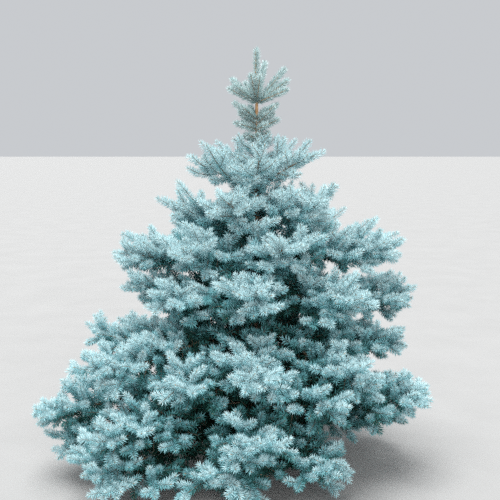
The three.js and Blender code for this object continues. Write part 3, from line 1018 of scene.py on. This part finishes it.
# %% [markdown]
# Living twigs
#
# Every shoot has a thin brown twig along its middle, and from above it shows as a fine line between the
# needles. Three sides are enough for a stick of a few millimetres. Curves with a bevel would be smoother,
# but many times heavier. The leader's twigs share the leader's orange-tan bark.

# %% Twigs
TWIG_RADIUS = {2: 0.0024, 3: 0.0017, 4: 0.0012}
TWIG_RINGS = {2: 4, 3: 2, 4: 2}
TWIG_TIP_RADIUS = 0.0010
LONG_TWIG = 0.1
LONG_TWIG_GAIN = 0.006
OPEN_TWIG_GAIN = 0.5


def twig(shoot):
    distances = np.linspace(0, shoot["length"], TWIG_RINGS[shoot["order"]])
    centres = [place_on(shoot, distance)[0] for distance in distances]
    base_radius = TWIG_RADIUS[shoot["order"]] + LONG_TWIG_GAIN * max(0, shoot["length"] - LONG_TWIG)
    thicker = 1 + OPEN_TWIG_GAIN * openness(shoot["start"][2])
    return tube(centres, thicker * np.linspace(base_radius, TWIG_TIP_RADIUS, len(distances)), 3, cap=False)


young_bark = mottled_material("young_bark", dark=(0.110, 0.085, 0.060), light=(0.30, 0.235, 0.165),
                              scale=160, roughness=0.8)
twig_parts = [twig(shoot) for shoot in shoots[:leader_from]]
leader_twig_parts = [twig(shoot) for shoot in shoots[leader_from:-1]]
twigs = add_mesh("twigs", *join_parts(twig_parts), young_bark)
leader_twigs = add_mesh("leader_twigs", *join_parts(leader_twig_parts), leader_bark)
print("twig faces:", len(twigs.data.polygons), "and on the leader", len(leader_twigs.data.polygons))

# %% [markdown]
# Where the foliage is
#
# Needles live where there is light: shoots at the outside are dense and pale, and those deep inside carry
# a few old, dark needles. Both tints are partly painted light and shade. To know which is which, the
# crown is divided into small cubes, and each cube gets the length of shoot that it holds. Casting rays at
# the needles themselves would be exact, but they aren't there yet.

# %% Shoots as arrays, and the cubes
CUBE = 0.05
PIECES = 4
GRID_LOW = np.array([-1.35, -1.25, -0.10])
GRID_SIZE = np.array([52, 52, 48])
shoot_start = np.array([shoot["start"] for shoot in shoots])
shoot_direction = np.array([shoot["direction"] for shoot in shoots])
shoot_length = np.array([shoot["length"] for shoot in shoots])
shoot_lift = np.array([shoot["lift"] for shoot in shoots])


def shoot_points(share):
    straight = shoot_start + shoot_direction * (shoot_length * share)[:, None]
    return straight + shoot_lift * (shoot_length * share ** 2)[:, None]


def cube_of(points):
    return np.clip(((points - GRID_LOW) / CUBE).astype(int), 0, GRID_SIZE - 1)


filled = np.zeros(GRID_SIZE)
for piece in range(PIECES):
    cubes = cube_of(shoot_points((piece + 0.5) / PIECES))
    np.add.at(filled, tuple(cubes.T), shoot_length / PIECES)
print("cubes with foliage:", int((filled > 0).sum()), "of", filled.size)

# %% [markdown]
# Light reaching each shoot
#
# From every shoot straight paths are followed through the cubes in all directions but steeply down,
# adding up the foliage that they pass. The level and the rising paths together say how much sky the shoot
# sees. The clearest few say how far outside it is, whichever way it faces. Both become numbers from 0 to
# 1. An ambient occlusion bake would need a finished mesh; this needs only the list of shoots.

# %% Paths through the crown
SHADE_PER_METRE = 9.0
PATH_RINGS = ((80, 1), (50, 6), (22, 8), (0, 8), (-18, 6))
PATH_TWIST = 50
PATH_START = 0.06
PATH_END = 0.9
LOOKOUT = 0.7
CLEAREST = 6
SKY_DARK = 0.08
SKY_RANGE = 0.40
SEEN_DARK = 0.45
SEEN_RANGE = 0.50
SEEN_CURVE = 1.5
paths = []
for rise, number in PATH_RINGS:
    for k in range(number):
        around = 2 * math.pi * (k + 0.5 * rise / PATH_TWIST) / number
        level = math.cos(math.radians(rise))
        paths.append((level * math.cos(around), level * math.sin(around), math.sin(math.radians(rise))))
clear = np.zeros((len(paths), len(shoots)))
lookouts = shoot_points(LOOKOUT)
for number, path in enumerate(paths):
    passed = np.zeros(len(shoots))
    for walk in np.arange(PATH_START, PATH_END, CUBE):
        cubes = cube_of(lookouts + np.array(path) * walk)
        passed += filled[tuple(cubes.T)]
    clear[number] = np.exp(-SHADE_PER_METRE * passed)
sky = clear[np.array(paths)[:, 2] >= 0].mean(0)
seen = np.sort(clear, axis=0)[-CLEAREST:].mean(0)
exposure = np.clip((sky - SKY_DARK) / SKY_RANGE, 0, 1)
outside = np.clip((seen - SEEN_DARK) / SEEN_RANGE, 0, 1) ** SEEN_CURVE
for label, values in (("exposure", exposure), ("outside", outside)):
    tenths = np.round(np.percentile(values, [10, 30, 50, 70, 90]), 2)
    print(label, "from the shaded shoots to the open ones:", tenths)

# %% [markdown]
# How many needles, and where
#
# A dense young shoot of this kind has well over a thousand needles a metre and an old shaded one a few
# hundred. Each shoot gets its number from how far outside it is. In the open upper crown they are a
# little sparser, so that the twigs show. Particles would scatter them in one click, but they would sit at
# random, and real needles follow one another evenly along the twig.

# %% Needle places
MOST_NEEDLES = 1320
FEWEST_NEEDLES = 260
LEADER_NEEDLES = 1750
AT_LEAST = 14
OPEN_CROWN_LOSS = 0.22
TIP_CROWDING = 1.1
rng = np.random.default_rng(11)
per_metre = FEWEST_NEEDLES + (MOST_NEEDLES - FEWEST_NEEDLES) * outside
per_metre *= 1 - OPEN_CROWN_LOSS * openness(shoot_start[:, 2])
per_metre[leader_from:] = LEADER_NEEDLES
needles_of = np.maximum(AT_LEAST, (shoot_length * per_metre).astype(int))
shoot_of = np.repeat(np.arange(len(shoots)), needles_of)
needle_count = len(shoot_of)
on_leader = shoot_of >= leader_from
first = np.cumsum(needles_of) - needles_of
step = np.arange(needle_count) - np.repeat(first, needles_of)
share = (step + 0.5 * rng.random(needle_count) + 0.25) / needles_of[shoot_of]
share = 1 - (1 - share) ** TIP_CROWDING
from_tip = shoot_length[shoot_of] * (1 - share)
print("needles:", needle_count, "on", round(float(shoot_length.sum()), 1), "metres of shoot")

# %% [markdown]
# Which way a needle points
#
# Needles stand out from the twig on all sides and lean forward, and round the shoot's end they close up,
# so that the shoot looks like a blunt bottle brush. All bend up a little towards the light. They are
# turned together as rows of one array, because a loop in Python over this many would be slow.

# %% Needle directions
LEAN_AT_TIP = 17
LEAN_GAIN = 45
LEADER_LEAN_GAIN = 37
LEAN_CURVE = 0.8
LEAN_SPREAD = 7
BLUNT_END = 0.012
RISE = 0.10
RISE_SPREAD = 0.05
FULL_TURN = 6.28
SLANTED = np.array([0.31, 0.17, 0.93])


def rows_to_unit(vectors):
    return vectors / np.linalg.norm(vectors, axis=1, keepdims=True)


lift_of = shoot_lift[shoot_of]
base = shoot_start[shoot_of] + shoot_direction[shoot_of] * (shoot_length[shoot_of] * share)[:, None]
base += lift_of * (shoot_length[shoot_of] * share ** 2)[:, None]
tangent = rows_to_unit(shoot_direction[shoot_of] + 2 * lift_of * share[:, None])
across = rows_to_unit(np.cross(tangent, SLANTED))
over = np.cross(tangent, across)
turn = step * math.radians(GOLDEN_ANGLE) + rng.random(len(shoots))[shoot_of] * FULL_TURN
radial = across * np.cos(turn)[:, None] + over * np.sin(turn)[:, None]
blunt = np.clip(from_tip / BLUNT_END, 0, 1)
lean_gain = np.where(on_leader, LEADER_LEAN_GAIN, LEAN_GAIN)
lean = np.radians(LEAN_AT_TIP + lean_gain * blunt ** LEAN_CURVE + rng.normal(0, LEAN_SPREAD, needle_count))
aimed = tangent * np.cos(lean)[:, None] + radial * np.sin(lean)[:, None]
aimed[:, 2] += RISE + RISE_SPREAD * rng.normal(0, 1, needle_count)
aimed = rows_to_unit(aimed)
print("mean lean in degrees:", round(float(np.degrees(lean).mean()), 1))

# %% [markdown]
# The shape of a needle
#
# A blue spruce needle is stiff, sharp and about two centimetres long. Here it is a slim leaf of two faces
# folded along its middle, so that it shows from every side. It is longer and much wider than life,
# because there are fewer needles than on a real tree, and the sparse ones deep inside are wider still. A
# round needle would need many times the faces and look the same from here.

# %% Needle corners
NEEDLE_LENGTH = 0.0290
NEEDLE_WIDTH = 0.0038
SHORTEST_NEEDLE = 0.86
NEEDLE_SPREAD = 0.28
TIP_NEEDLE = 0.84
LEADER_NEEDLE = 1.02
INNER_NEEDLE_LONGER = 0.12
INNER_NEEDLE_WIDER = 1.0
FOLD = 0.9
inner = 1 - outside[shoot_of]
tip_share = TIP_NEEDLE + (1 - TIP_NEEDLE) * blunt
needle_length = NEEDLE_LENGTH * (SHORTEST_NEEDLE + NEEDLE_SPREAD * rng.random(needle_count)) * tip_share
needle_length *= np.where(on_leader, LEADER_NEEDLE, 1 + INNER_NEEDLE_LONGER * inner)
half_width = 0.5 * NEEDLE_WIDTH * (1 + INNER_NEEDLE_WIDER * inner)[:, None]
side = rows_to_unit(np.cross(aimed, rng.normal(0, 1, (needle_count, 3))))
fold = np.cross(aimed, side)
widest = base + aimed * (0.5 * needle_length)[:, None] + fold * half_width * FOLD
corners = np.stack([base, widest + side * half_width, base + aimed * needle_length[:, None],
                    widest - side * half_width], axis=1)
print("needle corners:", corners.shape)

# %% [markdown]
# The blue of the needles
#
# The wax that makes the tree blue is thickest on this year's shoots, so the tips are pale silver-blue,
# older needles are teal, and those deep inside are a dull dark green. The darkest tints are also painted
# shade, given to needles that see little sky, and the palest are also painted light. The leader's needles
# look greyer, as they do against the sky, and have two tints of their own. A colour attribute could blend
# them all smoothly, but plain tints export as they are and can be changed one at a time.

# %% The tints
TINTS = [
    # The two darkest tints are partly the dark green of old needles and partly painted shade deep in the
    # crown.
    ("needles_inner_shade", (0.006, 0.028, 0.020)),
    ("needles_shade", (0.022, 0.096, 0.078)),
    ("needles_teal", (0.070, 0.240, 0.238)),
    ("needles_blue", (0.162, 0.405, 0.430)),
    ("needles_soft_blue", (0.285, 0.545, 0.585)),
    ("needles_silver", (0.410, 0.635, 0.670)),
    ("needles_pale", (0.530, 0.715, 0.740)),
]
LEADER_TINTS = [
    ("needles_grey", (0.360, 0.500, 0.500)),
    ("needles_frost", (0.610, 0.740, 0.740)),
]
print("tints:", len(TINTS), "and", len(LEADER_TINTS), "for the leader")

# %% [markdown]
# Which needle gets which tint
#
# A needle's brightness adds up the sky that its shoot sees, how young it is, whether it is on the upper
# side and how high it sits, with a little chance for each shoot and each needle. The tint follows from
# it. So the sky, the upper side and the height paint light and shade into the colour: painted shade deep
# in the crown and on the low tiers, and a painted highlight on the top of each shoot with painted shade
# below it. Youth is the pale wax of new growth, dimmed in shade, and the chance is the needles' own
# variety. Painting the colours by hand would be freer, but nobody can paint this many needles one by one.

# %% Brightness and tint
YOUNG_LENGTH = 0.10
DARKEST = 0.02
# Painted shade: needles whose shoot sees little sky get darker tints, and those that see much get paler
# ones.
PAINTED_SKY_LIGHT = 0.54
BY_YOUTH = 0.34
YOUTH_IN_SHADE = 0.3
# Painted light: needles on a shoot's upper side get paler tints, those below get painted shade.
PAINTED_TOP_LIGHT = 0.20
# Painted shade: needles on the low tiers get darker tints, and higher ones paler.
PAINTED_LIGHT_WITH_HEIGHT = 0.15
HEIGHT_FROM = 0.35
HEIGHT_OVER = 0.7
# Painted light: paler again in the upper crown.
PAINTED_LIGHT_IN_CROWN = 0.11
CROWN_FROM = 1.0
CROWN_OVER = 0.4
SHOOT_CHANCE = 0.14
NEEDLE_CHANCE = 0.12
FROST_SHARE = 0.35
FROST_BY_YOUTH = 0.45


def height_share(start, over):
    return np.clip((base[:, 2] - start) / over, 0, 1)


sunlit = exposure[shoot_of]
young = 1 - np.clip(from_tip / YOUNG_LENGTH, 0, 1)
# Painted light and shade: the sky seen, the upper side and the height lighten or darken the tint; youth adds
# the pale wax of new growth.
bright = DARKEST + PAINTED_SKY_LIGHT * sunlit + BY_YOUTH * young * (YOUTH_IN_SHADE + (1 - YOUTH_IN_SHADE) * sunlit)
bright += PAINTED_TOP_LIGHT * radial[:, 2] * sunlit + PAINTED_LIGHT_WITH_HEIGHT * height_share(HEIGHT_FROM, HEIGHT_OVER)
bright += PAINTED_LIGHT_IN_CROWN * height_share(CROWN_FROM, CROWN_OVER)
bright += SHOOT_CHANCE * (rng.random(len(shoots))[shoot_of] - 0.5)
bright += NEEDLE_CHANCE * (rng.random(needle_count) - 0.5)
tint_of = np.clip((bright * len(TINTS)).astype(int), 0, len(TINTS) - 1)
frosted = rng.random(needle_count) < FROST_SHARE + FROST_BY_YOUTH * young
tint_of = np.where(on_leader, len(TINTS) + frosted, tint_of)
print("needles of each tint:", np.bincount(tint_of).tolist())

# %% [markdown]
# Needle meshes
#
# Needles of one tint become one mesh, or several where there are too many faces for one. The material is
# a plain base colour with a soft waxy sheen. Instances of one needle would save memory, but joined meshes
# export whole.

# %% Needle pieces and their materials
FACE_LIMIT = 190000
NEEDLE_ROUGHNESS = 0.55
NEEDLE_GLOSS = 0.15
NEEDLE_FACES = np.array([[0, 1, 2], [0, 2, 3]])


def plain_material(name, colour):
    material = bpy.data.materials.new(name)
    material.use_nodes = True
    shader = material.node_tree.nodes["Principled BSDF"]
    shader.inputs["Base Color"].default_value = (*colour, 1)
    shader.inputs["Roughness"].default_value = NEEDLE_ROUGHNESS
    shader.inputs["Specular IOR Level"].default_value = NEEDLE_GLOSS
    return material


needle_pieces = []
for number, (name, colour) in enumerate(TINTS + LEADER_TINTS):
    material = plain_material(name, colour)
    chosen = corners[tint_of == number]
    parts = max(1, math.ceil(len(chosen) * len(NEEDLE_FACES) / FACE_LIMIT))
    for part, group in enumerate(np.array_split(chosen, parts)):
        faces = group.shape[1] * np.arange(len(group))[:, None, None] + NEEDLE_FACES
        piece = add_mesh(f"{name}_{part + 1}", group.reshape(-1, 3), faces.reshape(-1, 3), material)
        needle_pieces.append(piece)
    print(name, len(chosen), "needles in", parts, "piece(s)")

# %% [markdown]
# Buds
#
# The shoots at the outside end in small tan buds, warm dots among the blue. A bud is two low cones base
# to base, the lower one short and the upper one pointed. Six faces are enough at this size. The buds are
# somewhat larger than life, or they would vanish at this distance.

# %% Buds at the shoot tips
BUD_LENGTH = 0.013
BUD_RADIUS = 0.0036
BUD_WIDEST_AT = 0.35
BUD_INSET = 0.001
BUD_SIDES = 3
BUDS_FROM = 0.3
BUD_SLANTED = np.array([0.2, 0.9, 0.4])
BUD_FACES = np.array([[0, 2, 1], [0, 3, 2], [0, 1, 3], [1, 2, 4], [2, 3, 4], [3, 1, 4]])
bud_scales = mottled_material("bud_scales", dark=(0.30, 0.19, 0.11), light=(0.50, 0.36, 0.23),
                              scale=420, roughness=0.6)
budded = [shoot for shoot, clearness in zip(shoots, outside)
          if clearness > BUDS_FROM + (1 - BUDS_FROM) * rng.random()]
tips, ways = zip(*[place_on(shoot, shoot["length"]) for shoot in budded])
tips, ways = np.array(tips), np.array(ways)
bud_side = rows_to_unit(np.cross(ways, BUD_SLANTED))
bud_over = np.cross(ways, bud_side)
ring_place = tips + BUD_WIDEST_AT * BUD_LENGTH * ways
bud_corners = [tips - BUD_INSET * ways]
for k in range(BUD_SIDES):
    around = 2 * math.pi * k / BUD_SIDES
    bud_corners.append(ring_place + BUD_RADIUS * (math.cos(around) * bud_side + math.sin(around) * bud_over))
bud_corners.append(tips + BUD_LENGTH * ways)
bud_corners = np.stack(bud_corners, axis=1)
bud_faces = bud_corners.shape[1] * np.arange(len(tips))[:, None, None] + BUD_FACES
buds = add_mesh("buds", bud_corners.reshape(-1, 3), bud_faces.reshape(-1, 3), bud_scales)
print("buds:", len(tips))

# %% [markdown]
# Hide the foliage masses
#
# Needles, living and dead twigs, stems, the leader and buds together take the place of the plain foliage
# masses. The masses are hidden, or they would stay in the picture.

# %% Replace the foliage masses
wooden = [twigs, dead_twigs, stems, leader, leader_twigs, buds]
for piece in [*needle_pieces, *wooden]:
    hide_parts(*foliage_nodes)
faces_made = sum(len(piece.data.polygons) for piece in [*needle_pieces, *wooden, limbs, trunk])
print("faces in all:", faces_made)

# %% [markdown]
# Floor
#
# The tree stands on a plain pale floor that runs to the horizon, so nothing draws the eye from it. A
# single colour would do, but a faint mottling keeps the floor from looking cut out.

# %% Floor
FLOOR_SIZE = 400.0
floor_paint = mottled_material("pale_floor", dark=(0.315, 0.315, 0.310), light=(0.335, 0.335, 0.330),
                               scale=2.0, roughness=0.9, relief=0.0)
half = FLOOR_SIZE / 2
floor_mesh = bpy.data.meshes.new("floor")
floor_corners = [(-half, -half, 0), (half, -half, 0), (half, half, 0), (-half, half, 0)]
floor_mesh.from_pydata(floor_corners, [], [(0, 1, 2, 3)])
floor_mesh.materials.append(floor_paint)
floor = bpy.data.objects.new("floor", floor_mesh)
bpy.context.scene.collection.objects.link(floor)
print("floor:", FLOOR_SIZE, "m")

# %% [markdown]
# Light
#
# The tree was seen under a bright overcast sky: the tops of the shelves of foliage are pale, and the gaps
# below them fall dark. Three very soft suns give that: a strong one from above, a weaker one from the
# front and a faint one from behind. Area lights would be brighter close by and leave the floor darker
# further off; a sun lights everything evenly. The wider a sun's angle, the softer its shadows. A pale sky
# fills in the rest.

# %% Three soft suns and a pale sky
AIMED_AT = (0, 0, 0.8)
SKY_COLOUR = (0.93, 0.96, 1.0)
SKY_STRENGTH = 0.62


def soft_light(name, place, strength, softness):
    light = bpy.data.lights.new(name, "SUN")
    light.energy = strength
    light.angle = math.radians(softness)
    lamp = bpy.data.objects.new(name, light)
    lamp.location = place
    lamp.rotation_euler = (Vector(AIMED_AT) - Vector(place)).to_track_quat("-Z", "Y").to_euler()
    bpy.context.scene.collection.objects.link(lamp)


soft_light("overhead", place=(-0.7, -1.0, 5.6), strength=4.6, softness=45)
soft_light("front", place=(1.6, -6.0, 3.4), strength=1.5, softness=35)
soft_light("back", place=(-2.0, 6.0, 4.0), strength=0.6, softness=60)
world = bpy.data.worlds.new("studio")
world.use_nodes = True
world.node_tree.nodes["Background"].inputs["Color"].default_value = (*SKY_COLOUR, 1)
world.node_tree.nodes["Background"].inputs["Strength"].default_value = SKY_STRENGTH
bpy.context.scene.world = world
print("lights:", [item.name for item in bpy.data.lights])

# %% [markdown]
# Fine needles in the picture
#
# In the picture a needle is about one pixel wide. The denoiser takes such fine contrast for noise and
# melts the needles into smooth lumps, so it is switched off. The Standard view shows the tints as they
# were mixed, where the default view would grey them.

# %% Keep the fine texture
bpy.context.scene.cycles.use_denoising = False
bpy.context.scene.view_settings.view_transform = "Standard"
print("view:", bpy.context.scene.view_settings.view_transform)

# %% [markdown]
# Camera
#
# The camera stands at eye height, a good four metres from the tree, and looks slightly down. How much it
# looks down follows from the horizon, which is above the middle of the picture. Turning the camera by
# hand until it fits would work too, but two measured lengths give the angle exactly.

# %% Camera
EYE = (-0.03, -4.20, 1.60)
FOCAL_PIXELS = 840
IMAGE_PIXELS = 500
HORIZON_ABOVE_MIDDLE = 100
lens = bpy.data.cameras.new("camera")
lens.sensor_width = 36
lens.lens = lens.sensor_width * FOCAL_PIXELS / IMAGE_PIXELS
camera = bpy.data.objects.new("camera", lens)
camera.location = EYE
camera.rotation_euler = (math.pi / 2 - math.atan(HORIZON_ABOVE_MIDDLE / FOCAL_PIXELS), 0, 0)
bpy.context.scene.collection.objects.link(camera)
bpy.context.scene.camera = camera
print("lens:", round(lens.lens, 1), "mm")
